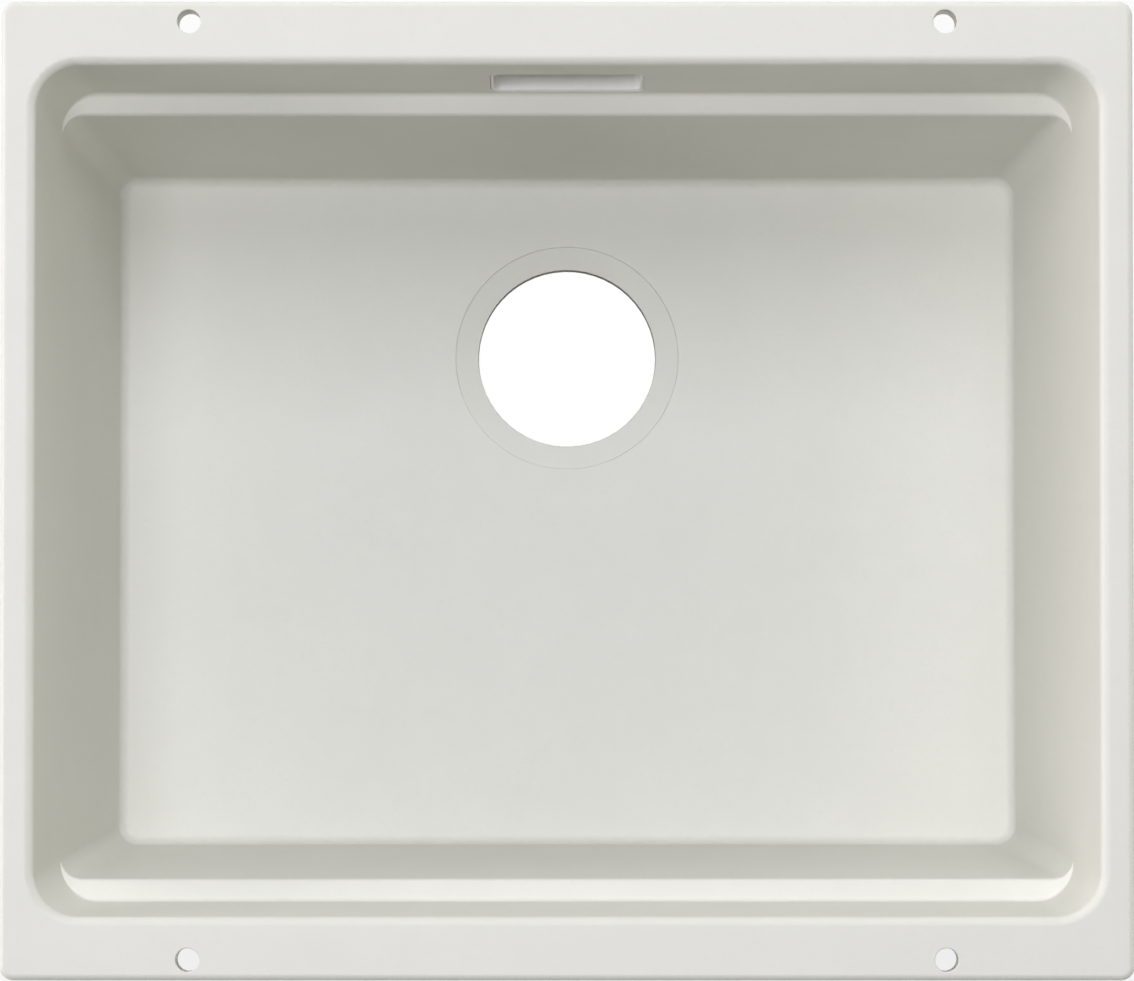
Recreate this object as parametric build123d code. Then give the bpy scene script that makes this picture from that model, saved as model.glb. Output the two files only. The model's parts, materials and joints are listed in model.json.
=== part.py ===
from build123d import *
from math import radians, tan
import os

# Undermount kitchen sink, in millimetres.
# X runs along the sink, +Y points to its back, +Z up. The origin is under the middle of the flange
# outline, on the flat underside of the bowl. Depths are counted down from the top of the flange.

# Bowl
bowl_length = 500.0             # clear length just under the rounded rim
bowl_width = 400.0              # clear width just under the rounded rim
bowl_depth = 200.0              # flange top to the floor beside the drain
floor_thickness = 12.0          # floor beside the drain
wall_thickness = 10.0
side_draft = 7.0                # degrees, side walls
upper_draft = 5.4               # degrees, front and back walls above the ledges
lower_draft = 6.1               # degrees, front and back walls below the ledges
floor_fall = 1.0                # degrees, towards the drain
mouth_corner_radius = 21.0
ledge_corner_radius = 18.4
lower_corner_radius = 10.0
floor_corner_radius = 10.0
floor_edge_radius = 6.0
base_edge_radius = 12.0

# Flange
side_flange = 16.0              # left and right
long_flange = 30.0              # front and back
flange_thickness = 15.0
flange_corner_radius = 6.5
flange_top_radius = 3.0
flange_under_radius = 1.5
flange_root_radius = 4.0
rim_radius = 4.7

# Ledges along the front and back walls
ledge_depth = 60.0
ledge_width = 11.2
ledge_fall = 0.3                # drop from the wall to the ledge's edge
ledge_root_radius = 2.6
ledge_edge_radius = 2.0
rounding_steps = 6
step_lead = 5.0                 # the outer wall steps in this far below the ledge
step_height = 8.0

# Holes in the flange
flange_hole_radius = 5.5
flange_hole_spacing = 355.6
flange_hole_inset = 9.6         # from the front and back edges
hole_edge_radius = 0.5

# Drain
drain_radius = 45.0
drain_offset = 78.0             # behind the middle of the sink
seat_radius = 56.4
seat_step = 0.8                 # floor to the seat's outer edge
seat_fall = 8.0                 # degrees, from its outer edge down to the hole
seat_edge_radius = 0.5
drain_edge_radius = 0.4

# Overflow window, lined by a spigot on the housing
window_length = 70.0            # clear opening inside the spigot
window_height = 31.5
window_sill_height = 5.25       # above the ledge
window_corner_radius = 3.0
window_edge_radius = 0.3
spigot_wall = 1.5
spigot_clearance = 0.15         # round the spigot, in the casting
spigot_setback = 0.2            # spigot's end, behind the inner wall
spigot_edge_radius = 0.3

# Pad on the outer wall that carries the overflow housing
pad_proud = 1.2                 # beyond the outer wall at the flange
pad_margin = 4.0                # round the housing plate

# Overflow gasket and housing
gasket_thickness = 2.5
gasket_clearance = 0.4          # gasket opening, round the spigot
plate_thickness = 3.5
plate_side = 19.0               # plate, beyond each end of the window
plate_top = 4.0                 # plate, above and below the window
plate_corner_radius = 4.0
housing_depth = 16.2            # from the gasket to the back of the box
housing_wall = 2.5
housing_margin = 1.0            # inside of the box, beyond the window
housing_edge_radius = 2.0
neck_radius = 7.8
neck_bore_radius = 5.5
neck_length = 16.0
rib_thickness = 2.0
rib_height = 1.0
rib_spacing = 24.0

# Screws, washers and inserts
screw_radius = 2.0
screw_side = 12.0               # screw centre, beyond each end of the window
screw_inset = 2.0               # screw centre, inside the window's top and bottom
screw_head_radius = 3.9
screw_head_height = 2.6
screw_head_rounding = 1.0
socket_flats = 2.5
socket_depth = 1.5
washer_radius = 4.5
washer_thickness = 0.8
insert_radius = 3.6
insert_length = 8.0
insert_groove_depth = 0.5
insert_groove_width = 1.0
screw_engagement = 7.0
screw_clearance = 0.2
thread_clearance = 0.05
cast_clearance = 0.05

# Swivel socket under the housing
socket_wall = 2.8
socket_cover = 2.5
socket_bore_length = 11.5
socket_mouth_length = 9.0
swivel_clearance = 0.06
barrel_radius = 10.0
barrel_top_gap = 0.5
collar_radius = 11.0
collar_thickness = 2.5
edge_margin = 0.4               # socket and neck, inside the faces behind them

# Retaining ring
ring_thickness = 1.5
ring_groove_depth = 1.2
ring_gap = 30.0                 # degrees
ring_hole_radius = 0.7
ring_hole_angle = 10.0          # degrees from the gap
ring_clearance = 0.1
neck_clearance = 0.4

# Elbow and its O-ring
tube_radius = 8.2
tube_bore_radius = 6.2
bend_radius = 13.0
elbow_drop = 2.0                # straight tube below the socket
tail_length = 18.7
flare_radius = 9.9
flare_thickness = 2.5
seal_section_radius = 0.95
seal_squash_gap = 0.03
seal_groove_width = 2.4
seal_groove_drop = 4.0          # top of the barrel to the groove

# Union nut and its seal
nut_radius = 12.7
nut_rib_radius = 1.6
nut_rib_count = 8
nut_rib_sink = 0.8              # rib centres inside the nut's side
nut_back_thickness = 3.0
nut_back_clearance = 0.3
nut_relief_radius = 10.5
nut_relief_length = 5.2
nut_thread_radius = 10.19
nut_thread_length = 10.0
nut_edge_break = 0.6
nut_play = 0.2
union_seal_thickness = 2.0
union_seal_clearance = 0.3

# Cutting and picking
small_step = 1.0                # how far a cutting shape runs past the face it opens
match_tolerance = 0.01          # how near an edge lies to its stated place

# Worked out from the sizes above
top_z = bowl_depth + floor_thickness
sink_length = bowl_length + 2 * side_flange
sink_width = bowl_width + 2 * long_flange
side_slope = tan(radians(side_draft))
upper_slope = tan(radians(upper_draft))
lower_slope = tan(radians(lower_draft))
seat_drop = (seat_radius - drain_radius) * tan(radians(seat_fall))
sill_depth = ledge_depth - window_sill_height
window_z = top_z - sill_depth + window_height / 2
spigot_length = window_length + 2 * spigot_wall
spigot_height = window_height + 2 * spigot_wall
spigot_corner_radius = window_corner_radius + spigot_wall
flange_hole_y = sink_width / 2 - flange_hole_inset


def rim_spread(draft):
    # from the foot of the rounded rim out to where the drafted wall would meet the flange top
    return rim_radius * tan(radians(45 - draft / 2)) * tan(radians(draft))


mouth_half_length = bowl_length / 2 + rim_spread(side_draft)
mouth_half_width = bowl_width / 2 + rim_spread(upper_draft)


def half_length(depth):
    return mouth_half_length - depth * side_slope


def upper_half_width(depth):
    return mouth_half_width - depth * upper_slope


def lower_half_width(depth):
    ledge_edge = upper_half_width(ledge_depth) - ledge_width
    return ledge_edge - (depth - ledge_depth) * lower_slope


pad_y = upper_half_width(flange_thickness) + wall_thickness + pad_proud
plate_y = pad_y + gasket_thickness
plate_half_length = window_length / 2 + plate_side
plate_half_height = window_height / 2 + plate_top
screw_x = window_length / 2 + screw_side
screw_z = window_height / 2 - screw_inset
screw_points = [(x, z) for x in (-screw_x, screw_x) for z in (window_z - screw_z, window_z + screw_z)]

socket_bore_radius = barrel_radius + swivel_clearance
mouth_bore_radius = collar_radius + swivel_clearance
socket_radius = mouth_bore_radius + socket_wall
swivel_y = sink_width / 2 - edge_margin - socket_radius
box_bottom_z = window_z - plate_half_height
socket_top_z = box_bottom_z - neck_length
bore_top_z = socket_top_z - socket_cover
mouth_top_z = bore_top_z - socket_bore_length
socket_bottom_z = mouth_top_z - socket_mouth_length
barrel_top_z = bore_top_z - barrel_top_gap
collar_top_z = mouth_top_z - ring_clearance
ring_top_z = collar_top_z - collar_thickness - ring_clearance
seal_z = barrel_top_z - seal_groove_drop - seal_groove_width / 2
bend_top_z = socket_bottom_z - elbow_drop
tail_z = bend_top_z - bend_radius
flare_x = bend_radius + tail_length - flare_thickness
tail_end_x = bend_radius + tail_length
nut_x = flare_x - nut_play - nut_back_thickness
nut_length = nut_back_thickness + nut_relief_length + nut_thread_length


def outline(half_x, half_y, radius, depth):
    # a level rounded rectangle at one depth
    return Plane.XY.offset(top_z - depth) * RectangleRounded(2 * half_x, 2 * half_y, radius)


def upright(radius, height, bottom_z, x=0.0, y=0.0):
    # a vertical cylinder standing on bottom_z
    return Pos(x, y, bottom_z + height / 2) * Cylinder(radius, height)


def along_y(radius, length, start_y, x, z):
    # a cylinder that runs back from start_y
    return Pos(x, start_y + length / 2, z) * Rot(90, 0, 0) * Cylinder(radius, length)


def along_x(radius, length, start_x):
    # a cylinder on the elbow tail's axis
    return Pos(start_x + length / 2, swivel_y, tail_z) * Rot(0, 90, 0) * Cylinder(radius, length)


def cavity_stations():
    # outlines of the hollow from the rim to the floor, with the ledge's two roundings in steps
    mouth = (mouth_half_length, mouth_half_width, mouth_corner_radius, 0.0)
    stations = [mouth]
    root_y = upper_half_width(ledge_depth) - ledge_root_radius
    edge_y = lower_half_width(ledge_depth) + ledge_edge_radius
    angles = [90.0 * step / rounding_steps for step in range(rounding_steps + 1)]
    turns = [Vector(1, 0, 0).rotate(Axis.Z, angle) for angle in angles]
    for turn in turns:
        depth = ledge_depth - ledge_root_radius * (1 - turn.Y)
        half_y = root_y + ledge_root_radius * turn.X
        radius = ledge_corner_radius - ledge_root_radius * (1 - turn.X)
        stations.append((half_length(depth), half_y, radius, depth))
    for turn in turns:
        depth = ledge_depth + ledge_fall + ledge_edge_radius * (1 - turn.X)
        half_y = edge_y - ledge_edge_radius * turn.Y
        radius = lower_corner_radius + ledge_edge_radius * (1 - turn.Y)
        stations.append((half_length(depth), half_y, radius, depth))
    deep = bowl_depth + small_step
    stations.append((half_length(deep), lower_half_width(deep), floor_corner_radius, deep))
    return stations


def cavity():
    hollow = loft([outline(*station) for station in cavity_stations()], ruled=True)
    rise = bowl_depth
    spread = rise / tan(radians(floor_fall))
    above_floor = Pos(0, drain_offset, top_z - bowl_depth + rise / 2) * Cone(
        seat_radius, seat_radius + spread, rise)
    hollow = hollow & above_floor
    floor = hollow.faces().filter_by(GeomType.CONE).sort_by(SortBy.AREA)[-1]
    return fillet(floor.outer_wire().edges(), floor_edge_radius)


def outer_body():
    # the outer wall follows the hollow at one thickness and steps in below the ledges
    start = flange_thickness / 2
    step_top = ledge_depth + step_lead
    step_bottom = step_top + step_height
    inner_stations = [
        (start, upper_half_width, mouth_corner_radius),
        (step_top, upper_half_width, ledge_corner_radius),
        (step_bottom, lower_half_width, lower_corner_radius),
        (top_z, lower_half_width, floor_corner_radius)]
    outlines = []
    for depth, half_width, radius in inner_stations:
        half_x = half_length(depth) + wall_thickness
        half_y = half_width(depth) + wall_thickness
        outlines.append(outline(half_x, half_y, radius + wall_thickness, depth))
    body = loft(outlines, ruled=True)
    return fillet(body.faces().sort_by(Axis.Z)[0].edges(), base_edge_radius)


def flange():
    plate = Pos(0, 0, top_z - flange_thickness / 2) * Box(sink_length, sink_width, flange_thickness)
    plate = fillet(plate.edges().filter_by(Axis.Z), flange_corner_radius)
    plate = fillet(plate.faces().sort_by(Axis.Z)[-1].edges(), flange_top_radius)
    return fillet(plate.faces().sort_by(Axis.Z)[0].edges(), flange_under_radius)


def inside_outline(edge, z, margin):
    # true for an edge at height z that lies well inside the flange's outer edge
    middle = edge.center()
    level = abs(middle.Z - z) < match_tolerance
    return level and abs(middle.X) < sink_length / 2 - margin and abs(middle.Y) < sink_width / 2 - margin


def circles_at(body, radius, z):
    # the circular edges of one radius at one height
    return [
        edge for edge in body.edges().filter_by(GeomType.CIRCLE)
        if abs(edge.radius - radius) < match_tolerance and abs(edge.center().Z - z) < match_tolerance]


def window_block(grown, depth, middle_y):
    # the spigot's outline, grown all round, as a block along Y
    block = Pos(0, middle_y, window_z) * Box(spigot_length + 2 * grown, depth, spigot_height + 2 * grown)
    return fillet(block.edges().filter_by(Axis.Y), spigot_corner_radius + grown)


def cut_window(body):
    body -= window_block(spigot_clearance, pad_y, pad_y)
    half_x = spigot_length / 2 + spigot_clearance + match_tolerance
    half_z = spigot_height / 2 + spigot_clearance + match_tolerance
    mouth_edges = []
    for edge in body.edges():
        box = edge.bounding_box()
        middle = box.center()
        in_window = abs(middle.X) <= half_x and abs(middle.Z - window_z) <= half_z
        on_inner_wall = 0 < box.min.Y and box.max.Y < pad_y and box.size.Y < wall_thickness / 2
        if in_window and on_inner_wall:
            mouth_edges.append(edge)
    return fillet(mouth_edges, window_edge_radius)


def cut_drain(body):
    # a small step round a dished seat, then the plain hole
    floor_z = top_z - bowl_depth
    seat_z = floor_z - seat_step
    hole_z = seat_z - seat_drop
    dish = Pos(0, drain_offset, hole_z + seat_drop / 2) * Cone(drain_radius, seat_radius, seat_drop)
    body -= dish + upright(seat_radius, seat_step + small_step, seat_z, y=drain_offset)
    body -= upright(drain_radius, floor_z + small_step, 0, y=drain_offset)
    body = fillet(circles_at(body, seat_radius, floor_z), seat_edge_radius)
    return fillet(circles_at(body, drain_radius, hole_z), drain_edge_radius)


def cut_flange_holes(body):
    underside = top_z - flange_thickness
    for x in (-flange_hole_spacing / 2, flange_hole_spacing / 2):
        for y in (-flange_hole_y, flange_hole_y):
            body -= upright(flange_hole_radius, 2 * flange_thickness, underside - flange_thickness / 2, x, y)
    edges = circles_at(body, flange_hole_radius, top_z) + circles_at(body, flange_hole_radius, underside)
    return fillet(edges, hole_edge_radius)


def bowl():
    body = flange() + outer_body()
    root_edges = [
        edge for edge in body.edges()
        if inside_outline(edge, top_z - flange_thickness, flange_under_radius + small_step)]
    body = fillet(root_edges, flange_root_radius)
    pad_half_length = plate_half_length + pad_margin
    pad_bottom = box_bottom_z - pad_margin
    pad_height = top_z - flange_thickness / 2 - pad_bottom
    pad_depth = pad_y - upper_half_width(ledge_depth)
    pad = Pos(0, pad_y - pad_depth / 2, pad_bottom + pad_height / 2) * Box(
        2 * pad_half_length, pad_depth, pad_height)
    body = body + pad - cavity()
    rim_edges = [
        edge for edge in body.edges()
        if inside_outline(edge, top_z, flange_top_radius + small_step)]
    body = fillet(rim_edges, rim_radius)
    body = cut_flange_holes(cut_drain(cut_window(body)))
    for x, z in screw_points:
        body -= along_y(insert_radius + cast_clearance, insert_length, pad_y - insert_length, x, z)
    return body


def screw_holes(radius, start_y, length):
    holes = [along_y(radius, length, start_y, x, z) for x, z in screw_points]
    return Part() + holes


def overflow_gasket():
    sheet = Pos(0, pad_y + gasket_thickness / 2, window_z) * Box(
        2 * plate_half_length, gasket_thickness, 2 * plate_half_height)
    sheet = fillet(sheet.edges().filter_by(Axis.Y), plate_corner_radius)
    opening = window_block(gasket_clearance, 2 * gasket_thickness, pad_y + gasket_thickness / 2)
    return sheet - opening - screw_holes(screw_radius + screw_clearance, pad_y, gasket_thickness)


def housing_spigot():
    # a sleeve that lines the window, cut off just behind the drafted inner wall
    root_y = plate_y + plate_thickness / 2
    reach = root_y - upper_half_width(ledge_depth)
    sleeve = window_block(0, reach, root_y - reach / 2)
    sleeve -= window_block(-spigot_wall, 2 * reach, root_y - reach / 2)
    end_y = upper_half_width(top_z - window_z) + spigot_setback
    cut = Pos(0, -reach / 2, 0) * Box(2 * spigot_length, reach, 2 * spigot_height)
    sleeve -= Pos(0, end_y, window_z) * Rot(-upper_draft, 0, 0) * cut
    return fillet(sleeve.faces().sort_by(Axis.Y)[0].edges(), spigot_edge_radius)


def overflow_housing():
    plate = Pos(0, plate_y + plate_thickness / 2, window_z) * Box(
        2 * plate_half_length, plate_thickness, 2 * plate_half_height)
    plate = fillet(plate.edges().filter_by(Axis.Y), plate_corner_radius)
    inner_half_length = window_length / 2 + housing_margin
    inner_half_height = window_height / 2 + housing_margin
    box_half_length = inner_half_length + housing_wall
    box_half_height = inner_half_height + housing_wall
    shell = Pos(0, plate_y + housing_depth / 2, window_z) * Box(
        2 * box_half_length, housing_depth, 2 * box_half_height)
    back_edges = shell.faces().sort_by(Axis.Y)[-1].edges()
    shell = fillet(back_edges + shell.edges().filter_by(Axis.Y), housing_edge_radius)
    inner_y = plate_y + plate_thickness
    inner_depth = housing_depth - housing_wall - plate_thickness
    hollow = Pos(0, inner_y + inner_depth / 2, window_z) * Box(
        2 * inner_half_length, inner_depth, 2 * inner_half_height)

    neck_y = plate_y + housing_depth - neck_radius - edge_margin
    neck_top_z = window_z - inner_half_height - housing_wall / 2
    neck = upright(neck_radius, neck_top_z - bore_top_z, bore_top_z, y=neck_y)
    socket = upright(socket_radius, socket_top_z - socket_bottom_z, socket_bottom_z, y=swivel_y)
    housing = plate + shell + neck + socket + housing_spigot()
    rib_length = 2 * (inner_half_height - housing_edge_radius)
    for step in (-1, 0, 1):
        housing += Pos(step * rib_spacing, plate_y + housing_depth - rib_height, window_z) * Box(
            rib_thickness, 2 * rib_height, rib_length)

    housing -= hollow + window_block(-spigot_wall, 2 * plate_thickness, plate_y + plate_thickness / 2)
    housing -= upright(neck_bore_radius, neck_top_z + housing_wall - bore_top_z, bore_top_z, y=neck_y)
    housing -= upright(socket_bore_radius, bore_top_z - mouth_top_z, mouth_top_z, y=swivel_y)
    housing -= upright(mouth_bore_radius, mouth_top_z - socket_bottom_z, socket_bottom_z, y=swivel_y)
    groove_bottom = ring_top_z - ring_thickness - ring_clearance
    groove_height = ring_thickness + 2 * ring_clearance
    housing -= upright(mouth_bore_radius + ring_groove_depth, groove_height, groove_bottom, y=swivel_y)
    return housing - screw_holes(screw_radius + screw_clearance, plate_y, plate_thickness)


def insert(x, z):
    # a plain sleeve with two grooves that the casting grips
    body = along_y(insert_radius, insert_length, pad_y - insert_length, x, z)
    for share in (1, 2):
        groove_y = pad_y - insert_length * share / 3 - insert_groove_width / 2
        ring = along_y(insert_radius + small_step, insert_groove_width, groove_y, x, z)
        body -= ring - along_y(insert_radius - insert_groove_depth, insert_groove_width, groove_y, x, z)
    return body - along_y(screw_radius + thread_clearance, insert_length, pad_y - insert_length, x, z)


def washer(x, z):
    start = plate_y + plate_thickness
    disc = along_y(washer_radius, washer_thickness, start, x, z)
    return disc - along_y(screw_radius + screw_clearance, washer_thickness, start, x, z)


def screw(x, z):
    head_y = plate_y + plate_thickness + washer_thickness
    head = along_y(screw_head_radius, screw_head_height, head_y, x, z)
    head = fillet(head.edges().sort_by(Axis.Y)[-1], screw_head_rounding)
    shank_start = pad_y - screw_engagement
    shank = along_y(screw_radius, head_y - shank_start, shank_start, x, z)
    hexagon = Plane.XZ * RegularPolygon(socket_flats / 2, 6, major_radius=False)
    hexagon = Pos(x, head_y + screw_head_height + small_step, z) * hexagon
    return head + shank - extrude(hexagon, socket_depth + small_step)


def overflow_fixings(make):
    return Compound(children=[make(x, z) for x, z in screw_points])


def elbow_retaining_ring():
    inner = tube_radius + neck_clearance
    outer = mouth_bore_radius + ring_groove_depth - ring_clearance
    bottom = ring_top_z - ring_thickness
    ring = upright(outer, ring_thickness, bottom, y=swivel_y)
    ring -= upright(inner, ring_thickness, bottom, y=swivel_y)
    gap_width = 2 * inner * tan(radians(ring_gap / 2))
    ring -= Pos(0, swivel_y + outer, bottom + ring_thickness / 2) * Box(
        gap_width, 2 * outer, 2 * ring_thickness)
    for side in (-1, 1):
        angle = 90 + side * (ring_gap / 2 + ring_hole_angle)
        spot = Vector((inner + outer) / 2, 0, 0).rotate(Axis.Z, angle)
        ring -= upright(ring_hole_radius, ring_thickness, bottom, spot.X, swivel_y + spot.Y)
    return ring


def elbow_bend(radius):
    # a quarter turn from straight down to along +X
    circle = Pos(0, swivel_y, bend_top_z) * Circle(radius)
    return revolve(circle, Axis((bend_radius, 0, bend_top_z), (0, -1, 0)), 90)


def outlet_elbow():
    body = upright(barrel_radius, barrel_top_z - collar_top_z + collar_thickness / 2,
                   collar_top_z - collar_thickness / 2, y=swivel_y)
    body += upright(collar_radius, collar_thickness, collar_top_z - collar_thickness, y=swivel_y)
    body += upright(tube_radius, collar_top_z - bend_top_z, bend_top_z, y=swivel_y)
    body += elbow_bend(tube_radius)
    body += along_x(tube_radius, tail_length, bend_radius)
    body += along_x(flare_radius, flare_thickness, flare_x)
    groove_bottom = seal_z - seal_groove_width / 2
    groove_radius = socket_bore_radius - 2 * seal_section_radius - 2 * seal_squash_gap
    body -= (upright(barrel_radius + small_step, seal_groove_width, groove_bottom, y=swivel_y)
             - upright(groove_radius, seal_groove_width, groove_bottom, y=swivel_y))
    body -= upright(tube_bore_radius, barrel_top_z - bend_top_z, bend_top_z, y=swivel_y)
    body -= elbow_bend(tube_bore_radius)
    return body - along_x(tube_bore_radius, tail_length, bend_radius)


def elbow_seal():
    ring_radius = socket_bore_radius - seal_squash_gap - seal_section_radius
    return Pos(0, swivel_y, seal_z) * Torus(ring_radius, seal_section_radius)


def union_nut():
    body = along_x(nut_radius, nut_length, nut_x)
    body = chamfer(body.edges().filter_by(GeomType.CIRCLE), nut_edge_break)
    rib_length = nut_length - 2 * nut_edge_break
    for number in range(nut_rib_count):
        spot = Vector(nut_radius - nut_rib_sink, 0, 0).rotate(Axis.Z, 360 * number / nut_rib_count)
        body += Pos(0, spot.X, spot.Y) * along_x(nut_rib_radius, rib_length, nut_x + nut_edge_break)
    relief_x = nut_x + nut_back_thickness
    body -= along_x(tube_radius + nut_back_clearance, nut_length, nut_x - small_step)
    body -= along_x(nut_relief_radius, nut_relief_length, relief_x)
    return body - along_x(nut_thread_radius, nut_length, relief_x)


def union_seal():
    disc = along_x(nut_thread_radius - union_seal_clearance, union_seal_thickness, tail_end_x)
    return disc - along_x(tube_bore_radius, union_seal_thickness, tail_end_x)


pieces = {
    "bowl": bowl(),
    "overflow_gasket": overflow_gasket(),
    "overflow_housing": overflow_housing(),
    "overflow_inserts": overflow_fixings(insert),
    "overflow_screws": overflow_fixings(screw),
    "overflow_washers": overflow_fixings(washer),
    "elbow_retaining_ring": elbow_retaining_ring(),
    "outlet_elbow": outlet_elbow(),
    "elbow_seal": elbow_seal(),
    "union_nut": union_nut(),
    "union_seal": union_seal(),
}

os.makedirs("parts", exist_ok=True)
for name, piece in pieces.items():
    export_step(piece, f"parts/{name}.step")
    print(name, len(piece.solids()), round(piece.volume), piece.is_valid)
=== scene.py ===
import bpy
import bmesh
import json
from math import cos, radians, sin
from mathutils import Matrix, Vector


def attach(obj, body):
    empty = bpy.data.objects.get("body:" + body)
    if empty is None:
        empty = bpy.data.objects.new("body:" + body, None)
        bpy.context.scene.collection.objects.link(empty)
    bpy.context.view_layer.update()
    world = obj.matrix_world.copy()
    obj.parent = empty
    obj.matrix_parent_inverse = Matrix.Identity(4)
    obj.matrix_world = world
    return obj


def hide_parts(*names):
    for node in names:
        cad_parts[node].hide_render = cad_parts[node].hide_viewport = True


# Undermount kitchen sink: finishes, floor, lamps and camera, in metres.

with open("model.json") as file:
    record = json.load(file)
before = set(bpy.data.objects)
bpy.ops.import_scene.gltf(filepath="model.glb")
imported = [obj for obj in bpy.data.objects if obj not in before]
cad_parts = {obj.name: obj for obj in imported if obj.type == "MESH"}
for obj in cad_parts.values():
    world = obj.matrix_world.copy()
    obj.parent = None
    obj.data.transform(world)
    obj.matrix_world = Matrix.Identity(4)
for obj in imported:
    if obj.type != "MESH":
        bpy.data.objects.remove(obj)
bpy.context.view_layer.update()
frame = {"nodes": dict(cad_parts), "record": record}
scene = bpy.context.scene
print("frame loaded:", len(frame["nodes"]), "nodes")


# Shader wiring

mixInputs = (0, 6, 7)              # a Mix node's factor and its two colours
mixOutput = 2
plainWhite = (1.0, 1.0, 1.0, 1.0)


class Wire:
    # one value socket, so that its maths can be written as an expression
    def __init__(self, finish, socket):
        self.finish, self.socket = finish, socket

    def maths(self, operation, first, second):
        return self.finish.add("ShaderNodeMath", {"operation": operation}, [first, second])

    def __add__(self, other):
        return self.maths("ADD", self, other)

    def __radd__(self, other):
        return self.maths("ADD", other, self)

    def __sub__(self, other):
        return self.maths("SUBTRACT", self, other)

    def __rsub__(self, other):
        return self.maths("SUBTRACT", other, self)

    def __mul__(self, other):
        return self.maths("MULTIPLY", self, other)

    def __rmul__(self, other):
        return self.maths("MULTIPLY", other, self)

    def __lt__(self, other):
        return self.maths("LESS_THAN", self, other)


class Finish:
    # a material, or the world, whose nodes all come from add()
    def __init__(self, name, owner=None):
        self.block = owner or bpy.data.materials.new(name)
        self.block.use_nodes = True
        self.tree = self.block.node_tree
        self.tree.nodes.clear()

    def add(self, kind, settings=None, values=None, output=0):
        node = self.tree.nodes.new(kind)
        for name, value in (settings or {}).items():
            setattr(node, name, value)
        pairs = values.items() if isinstance(values, dict) else enumerate(values or [])
        for name, value in pairs:
            if isinstance(value, Wire):
                self.tree.links.new(value.socket, node.inputs[name])
            else:
                node.inputs[name].default_value = value
        return Wire(self, node.outputs[output]) if len(node.outputs) else None

    def place(self):
        # object coordinates: metres in the sink's own frame
        return self.add("ShaderNodeTexCoord", output="Object")

    def noise(self, size, place, detail=2.0, roughness=0.5):
        # size: metres across one blotch
        return self.add("ShaderNodeTexNoise", None, {
            "Vector": place, "Scale": 1.0 / size, "Detail": detail, "Roughness": roughness})

    def spread(self, value, reach, ends=(0.0, 1.0)):
        # a value's reach stretched over two ends, and held there
        return self.add("ShaderNodeMapRange", None, [value, *reach, *ends])

    def blend(self, amount, first, second):
        # colours, in a Mix node
        values = dict(zip(mixInputs, (amount, first, second)))
        return self.add("ShaderNodeMix", {"data_type": "RGBA"}, values, output=mixOutput)

    def bump(self, height, depth, strength, under=None):
        values = {"Height": height, "Distance": depth, "Strength": strength}
        if under:
            values["Normal"] = under
        return self.add("ShaderNodeBump", None, values)

    def rays(self, *names):
        return [self.add("ShaderNodeLightPath", output=f"Is {name} Ray") for name in names]

    def finish(self, shader, kind="ShaderNodeOutputMaterial"):
        self.add(kind, None, [shader])
        return self.block


def tint(colour, gain=1.0):
    # a linear colour times a gain, with its alpha
    return tuple(min(1.0, channel * gain) for channel in colour) + (1.0,)


# Composite stone of the bowl

stone = {
    "body": (0.710, 0.708, 0.647),
    "grain": {"size": 0.0010, "detail": 2.0, "roughness": 0.6},
    "fine": {"size": 0.00045, "detail": 1.0, "roughness": 0.5},
    "cloud": {"size": 0.04, "detail": 4.0, "roughness": 0.65},
    "wave": {"size": 0.017, "detail": 2.0, "roughness": 0.5},
    "grainReach": (0.34, 0.66),
    "grainTints": (0.985, 1.012),   # gains of the dark and the pale grains
    "speckSize": 0.0026,           # metres across a cell
    "speckShare": 0.10,            # of the cells that hold a speck
    "speckReach": (0.35, 0.60),
    "speckAmount": 0.3,
    "speckTint": 0.93,
    "cloudReach": (0.35, 0.65),
    "cloudAmount": 0.8,
    "cloudTint": 0.974,
    "roughness": (0.40, 0.60),
    "fineShare": 0.5,              # of the fine grain in the relief
    "grainDepth": 0.000075,
    "grainStrength": 0.7,
    "waveDepth": 0.00010,
    "waveStrength": 0.3,
    "ior": 1.46,
}


def stoneFinish():
    finish = Finish("compositeStone")
    place = finish.place()
    grain = finish.noise(place=place, **stone["grain"])
    fine = finish.noise(place=place, **stone["fine"])
    cloud = finish.noise(place=place, **stone["cloud"])
    wave = finish.noise(place=place, **stone["wave"])
    cells = finish.add("ShaderNodeTexVoronoi", {"feature": "F1"},
                       {"Vector": place, "Scale": 1.0 / stone["speckSize"]}, output="Color")
    pick = finish.add("ShaderNodeSeparateColor", None, [cells])
    dark, pale = (tint(stone["body"], gain) for gain in stone["grainTints"])
    colour = finish.blend(finish.spread(grain, stone["grainReach"]), dark, pale)
    amount = finish.spread(fine, stone["speckReach"], (0.0, stone["speckAmount"]))
    specks = (pick < stone["speckShare"]) * amount
    colour = finish.blend(specks, colour, tint(stone["body"], stone["speckTint"]))
    clouds = finish.spread(cloud, stone["cloudReach"], (0.0, stone["cloudAmount"]))
    colour = finish.blend(clouds, colour, tint(stone["body"], stone["cloudTint"]))
    rough = finish.spread(grain, stone["grainReach"], stone["roughness"])
    relief = finish.bump(wave, stone["waveDepth"], stone["waveStrength"])
    height = grain + fine * stone["fineShare"]
    relief = finish.bump(height, stone["grainDepth"], stone["grainStrength"], relief)
    return finish.finish(finish.add("ShaderNodeBsdfPrincipled", None, {
        "Base Color": colour, "Roughness": rough, "Normal": relief, "IOR": stone["ior"]}))


# Moulded plastic of the housing, the elbow and the nut

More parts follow.
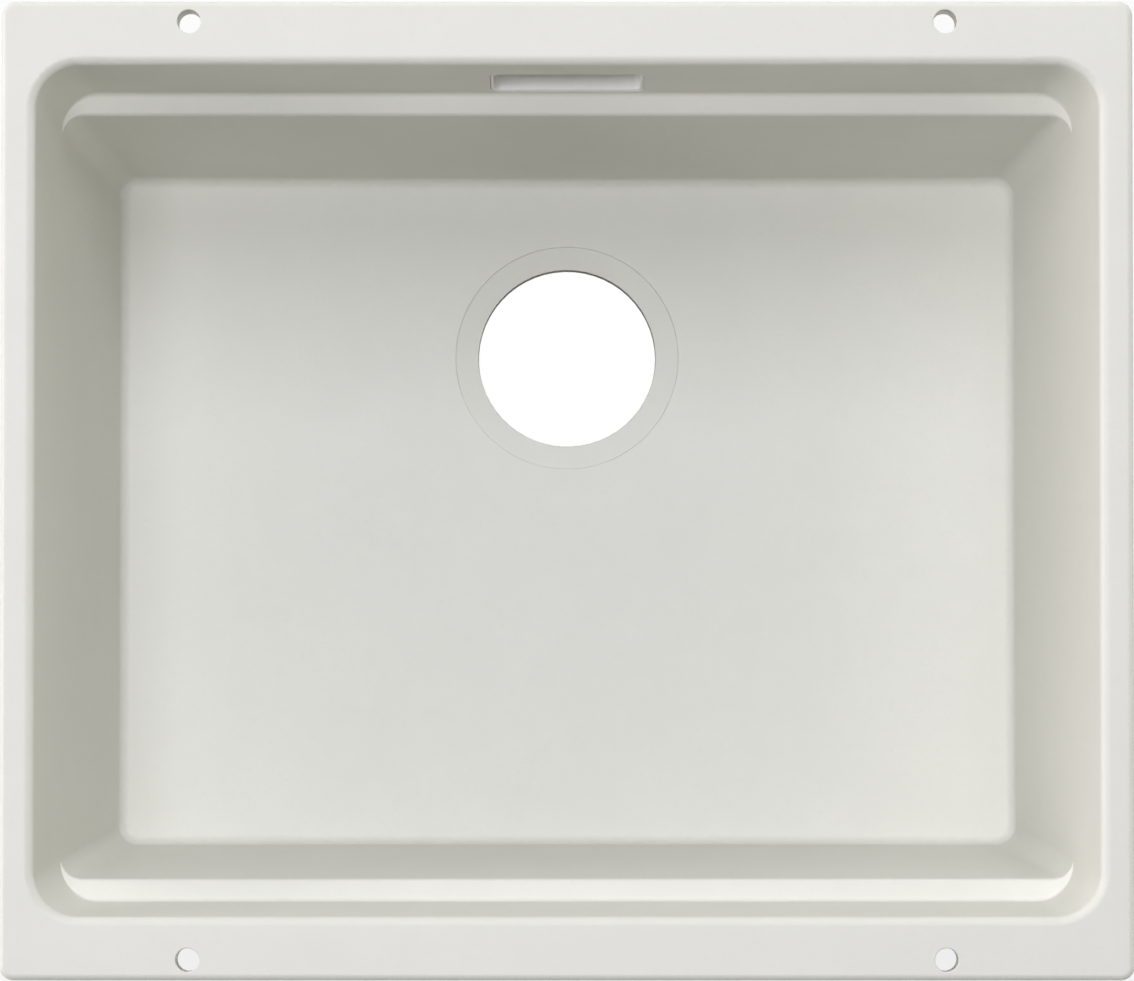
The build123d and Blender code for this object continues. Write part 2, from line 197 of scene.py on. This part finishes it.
plastic = {
    "housing": (0.880, 0.875, 0.845),
    "nut": (0.295, 0.305, 0.325),
    "texture": {"size": 0.0006, "detail": 2.0, "roughness": 0.6},
    "flow": {"size": 0.012, "detail": 2.0, "roughness": 0.5},
    "flowReach": (0.3, 0.7),
    "flowTints": (0.95, 1.03),
    "textureReach": (0.4, 0.7),
    "textureAmount": 0.3,
    "textureTint": 0.88,
    "roughness": (0.36, 0.50),
    "textureDepth": 0.00002,
    "textureStrength": 0.7,
    "ior": 1.49,
}


def plasticFinish(name, colour):
    finish = Finish(name)
    place = finish.place()
    texture = finish.noise(place=place, **plastic["texture"])
    flow = finish.noise(place=place, **plastic["flow"])
    dull, bright = (tint(colour, gain) for gain in plastic["flowTints"])
    base = finish.blend(finish.spread(flow, plastic["flowReach"]), dull, bright)
    pits = finish.spread(texture, plastic["textureReach"], (0.0, plastic["textureAmount"]))
    base = finish.blend(pits, base, tint(colour, plastic["textureTint"]))
    rough = finish.spread(flow, plastic["flowReach"], plastic["roughness"])
    relief = finish.bump(texture, plastic["textureDepth"], plastic["textureStrength"])
    return finish.finish(finish.add("ShaderNodeBsdfPrincipled", None, {
        "Base Color": base, "Roughness": rough, "Normal": relief, "IOR": plastic["ior"]}))


# Rubber of the gasket, the O-ring and the union washer

rubber = {
    "colour": (0.028, 0.028, 0.030),
    "bloom": (0.075, 0.075, 0.078),
    "grain": {"size": 0.0009, "detail": 3.0, "roughness": 0.6},
    "film": {"size": 0.0071, "detail": 3.0, "roughness": 0.6},
    "filmReach": (0.45, 0.75),
    "filmAmount": 0.5,
    "roughness": (0.48, 0.68),
    "grainDepth": 0.00003,
    "grainStrength": 0.6,
    "ior": 1.5,
}


def rubberFinish():
    finish = Finish("sealRubber")
    place = finish.place()
    grain = finish.noise(place=place, **rubber["grain"])
    film = finish.noise(place=place, **rubber["film"])
    amount = finish.spread(film, rubber["filmReach"], (0.0, rubber["filmAmount"]))
    base = finish.blend(amount, tint(rubber["colour"]), tint(rubber["bloom"]))
    rough = finish.spread(film, rubber["filmReach"], rubber["roughness"])
    relief = finish.bump(grain, rubber["grainDepth"], rubber["grainStrength"])
    return finish.finish(finish.add("ShaderNodeBsdfPrincipled", None, {
        "Base Color": base, "Roughness": rough, "Normal": relief, "IOR": rubber["ior"]}))


# Turned brass and plain stainless steel

metal = {
    "brass": {"colour": (0.72, 0.53, 0.23), "roughness": 0.30, "along": (1.0, 0.02, 1.0)},
    "steel": {"colour": (0.62, 0.615, 0.60), "roughness": 0.28, "along": (1.0, 1.0, 0.05)},
    "stroke": {"size": 0.00022, "detail": 2.0, "roughness": 0.6},
    "tarnish": {"size": 0.0038, "detail": 3.0, "roughness": 0.55},
    "tarnishReach": (0.35, 0.70),
    "tarnishTints": (1.06, 0.82),
    "tarnishRoughness": (-0.05, 0.10),
    "strokeRoughness": 0.06,
    "strokeDepth": 0.000006,
    "strokeStrength": 0.6,
}


def metalFinish(name, look):
    # tool marks run along the axis that is squeezed
    finish = Finish(name)
    place = finish.place()
    squeezed = finish.add("ShaderNodeMapping", None, {"Vector": place, "Scale": look["along"]})
    strokes = finish.noise(place=squeezed, **metal["stroke"])
    tarnish = finish.noise(place=place, **metal["tarnish"])
    clean, dull = (tint(look["colour"], gain) for gain in metal["tarnishTints"])
    base = finish.blend(finish.spread(tarnish, metal["tarnishReach"]), clean, dull)
    ends = [look["roughness"] + change for change in metal["tarnishRoughness"]]
    rough = finish.spread(tarnish, metal["tarnishReach"], ends) + strokes * metal["strokeRoughness"]
    relief = finish.bump(strokes, metal["strokeDepth"], metal["strokeStrength"])
    return finish.finish(finish.add("ShaderNodeBsdfPrincipled", None, {
        "Base Color": base, "Roughness": rough, "Normal": relief, "Metallic": 1.0}))


finishes = {
    "composite_stone": stoneFinish(),
    "housing_plastic": plasticFinish("housingPlastic", plastic["housing"]),
    "nut_plastic": plasticFinish("nutPlastic", plastic["nut"]),
    "seal_rubber": rubberFinish(),
    "insert_brass": metalFinish("insertBrass", metal["brass"]),
    "fixing_steel": metalFinish("fixingSteel", metal["steel"]),
}
print("finishes made:", len(finishes))


# Every CAD node gets a merged copy with smooth roundings

smoothing = {
    "weld": 0.000002,              # metres between corners that are one
    "crease": 32.0,                # degrees, sharper edges stay sharp
    "evenness": 50,                # weight of large faces in the corners' normals
}


def smoothCopy(name):
    mesh = bpy.data.meshes.new(name + "Skin")
    shape = bmesh.new()
    shape.from_mesh(frame["nodes"][name].data)
    bmesh.ops.remove_doubles(shape, verts=shape.verts, dist=smoothing["weld"])
    for face in shape.faces:
        face.smooth = True
    crease = radians(smoothing["crease"])
    for edge in shape.edges:
        edge.smooth = not (edge.is_manifold and edge.calc_face_angle(0.0) > crease)
    shape.to_mesh(mesh)
    shape.free()
    skin = bpy.data.objects.new(name + "Skin", mesh)
    scene.collection.objects.link(skin)
    even = skin.modifiers.new("evenNormals", "WEIGHTED_NORMAL")
    even.mode, even.weight, even.keep_sharp = "FACE_AREA", smoothing["evenness"], True
    return skin


record = frame["record"]
slots = {part["node"]: part["material_slot"] for part in record["subparts"]}
bodies = {node: body for body, nodes in record["behaviour"]["bodies"].items() for node in nodes}
for name in frame["nodes"]:
    skin = smoothCopy(name)
    skin.data.materials.append(finishes[slots[name]])
    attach(skin, bodies[name])
    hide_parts(name)
print("pieces dressed:", len(slots))


# Floor: pale, white to the camera under the open drain and near black there to other rays as
# painted shade for the drain's side; elsewhere it keeps the sink's shadow

floorLook = {
    "size": 14.0,
    "colour": (0.80, 0.80, 0.80),
    "grain": {"size": 0.0011, "detail": 2.0, "roughness": 0.5},
    "grainReach": (0.3, 0.7),
    "grainTints": (0.99, 1.01),
    "lift": 0.80,                  # share of plain white that the camera sees
    "drain": (0.0, 0.0788, 0.0),   # middle of the floor seen through the drain
    "drainReach": (0.0475, 0.0487),     # metres from there, over which it ends
    "drainPaintedShade": (0.04, 0.04, 0.04),   # painted shade: that floor is near black to other rays, so the drain's side stays dark
}


def floorFinish():
    finish = Finish("paleFloor")
    place = finish.place()
    away = finish.add("ShaderNodeVectorMath", {"operation": "DISTANCE"},
                      [place, floorLook["drain"]], "Value")
    under = finish.spread(away, floorLook["drainReach"], (1.0, 0.0))
    camera, gloss, glass = finish.rays("Camera", "Glossy", "Transmission")
    lift = floorLook["lift"] * (1.0 - under)
    amount = camera * under + (camera + gloss + glass) * lift
    grain = finish.noise(place=place, **floorLook["grain"])
    low, high = (tint(floorLook["colour"], gain) for gain in floorLook["grainTints"])
    colour = finish.blend(finish.spread(grain, floorLook["grainReach"]), low, high)
    # painted shade: under the drain the floor is near black to all but camera rays, so the drain's
    # side stays dark
    colour = finish.blend(under, colour, tint(floorLook["drainPaintedShade"]))
    plain = finish.add("ShaderNodeBsdfDiffuse", None, {"Color": colour})
    white = finish.add("ShaderNodeEmission", None, {"Color": plainWhite, "Strength": 1.0})
    return finish.finish(finish.add("ShaderNodeMixShader", None, [amount, plain, white]))


def layFloor():
    shape = bmesh.new()
    bmesh.ops.create_grid(shape, x_segments=1, y_segments=1, size=floorLook["size"] / 2)
    mesh = bpy.data.meshes.new("floor")
    shape.to_mesh(mesh)
    shape.free()
    mesh.materials.append(floorFinish())
    floor = bpy.data.objects.new("floor", mesh)
    scene.collection.objects.link(floor)


layFloor()
print("floor laid")


# Light: two broad lamps overhead, low lamps round the sink, and a faint room

room = {"colour": (1.0, 0.97, 0.90, 1.0), "strength": 0.02}
lampAim = Vector((0.0, 0.0, 0.15))  # metres, where every lamp points
lamps = {                          # turn: degrees from the back, rise: degrees above the floor
    "mainLamp": {"turn": -82.0, "rise": 83.0, "reach": 4.0, "size": (1.05, 1.70),
                 "power": 75.7, "colour": (0.930, 0.932, 1.0)},
    "backLamp": {"turn": 9.5, "rise": 60.0, "reach": 4.0, "size": (1.60, 1.60),
                 "power": 56.4, "colour": (0.930, 0.932, 1.0)},
    "leftFill": {"turn": -90.0, "rise": 12.0, "reach": 6.0, "size": (3.2, 3.2),
                 "power": 264.0, "colour": (1.0, 0.975, 0.965)},
    "backFill": {"turn": 5.0, "rise": 12.0, "reach": 6.0, "size": (3.2, 3.2),
                 "power": 137.0, "colour": (1.0, 0.99, 0.98)},
    "rightFill": {"turn": 85.0, "rise": 12.0, "reach": 6.0, "size": (3.2, 3.2),
                  "power": 60.0, "colour": (1.0, 0.97, 0.84)},
    "frontFill": {"turn": 135.0, "rise": 12.0, "reach": 6.0, "size": (3.2, 3.2),
                  "power": 40.0, "colour": (1.0, 0.97, 0.82)},
}


def lightRoom():
    world = bpy.data.worlds.new("room")
    scene.world = world
    finish = Finish("room", world)
    camera, gloss, glass = finish.rays("Camera", "Glossy", "Transmission")
    seen = camera + gloss + glass
    faint = finish.add("ShaderNodeBackground", None, {
        "Color": room["colour"], "Strength": room["strength"]})
    white = finish.add("ShaderNodeBackground", None, {"Color": plainWhite, "Strength": 1.0})
    both = finish.add("ShaderNodeMixShader", None, [seen, faint, white])
    finish.finish(both, "ShaderNodeOutputWorld")


def hangLamp(name, look):
    data = bpy.data.lights.new(name, "AREA")
    data.shape, data.size, data.size_y = "RECTANGLE", *look["size"]
    data.energy, data.color = look["power"], look["colour"]
    turn, rise = radians(look["turn"]), radians(look["rise"])
    outward = Vector((sin(turn) * cos(rise), cos(turn) * cos(rise), sin(rise)))
    lamp = bpy.data.objects.new(name, data)
    lamp.location = lampAim + look["reach"] * outward
    lamp.rotation_euler = (-outward).to_track_quat("-Z", "Y").to_euler()
    scene.collection.objects.link(lamp)


lightRoom()
for name, look in lamps.items():
    hangLamp(name, look)
print("lamps hung:", len(lamps))


# Camera: high over the sink's front half, turned a little towards its back

photo = {
    "width": 1134.0,               # pixels
    "focal": 5092.0,               # pixels
    "sensor": 36.0,                # millimetres
    "place": (0.0, -0.13106, 2.59799),  # metres
    "tilt": 1.4347,                # degrees from straight down
    "shift": 0.1332,               # of the picture's width, upwards
    "clip": (0.05, 60.0),          # metres
}


def placeCamera():
    data = bpy.data.cameras.new("photoCamera")
    data.sensor_fit, data.sensor_width = "HORIZONTAL", photo["sensor"]
    data.lens = photo["focal"] / photo["width"] * photo["sensor"]
    data.shift_y = photo["shift"]
    data.clip_start, data.clip_end = photo["clip"]
    camera = bpy.data.objects.new("photoCamera", data)
    camera.location = photo["place"]
    camera.rotation_euler = (radians(photo["tilt"]), 0.0, 0.0)
    scene.collection.objects.link(camera)
    scene.camera = camera


placeCamera()
scene.view_settings.view_transform = "Standard"
print("camera set")
